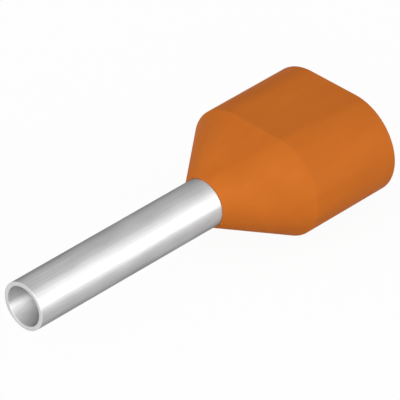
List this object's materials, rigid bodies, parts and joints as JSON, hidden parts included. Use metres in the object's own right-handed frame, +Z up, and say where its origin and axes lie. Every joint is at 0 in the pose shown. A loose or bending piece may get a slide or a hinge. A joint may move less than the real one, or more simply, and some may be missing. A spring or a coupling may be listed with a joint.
{
  "type": "wire ferrule",
  "caption": "Twin wire ferrule: a round tinned crimp sleeve with a bell-mouthed end held in an orange plastic collar that tapers out to a flat-sided mouth for two wires side by side.",
  "frame": {"origin": "centre of the crimp sleeve's open tip, on the ferrule's axis", "axes": "+X along the axis from the tip to the collar's mouth, Y across the collar's width, +Z up with the collar's flat sides above and below"},
  "size_m": [0.014, 0.0056, 0.0036],
  "materials": {
    "tinned_copper": "satin",
    "orange_plastic": "semi-gloss"
  },
  "bodies": {
    "root": {"contact_sleeve": "tinned_copper", "insulating_collar": "orange_plastic"}
  },
  "joints": []
}
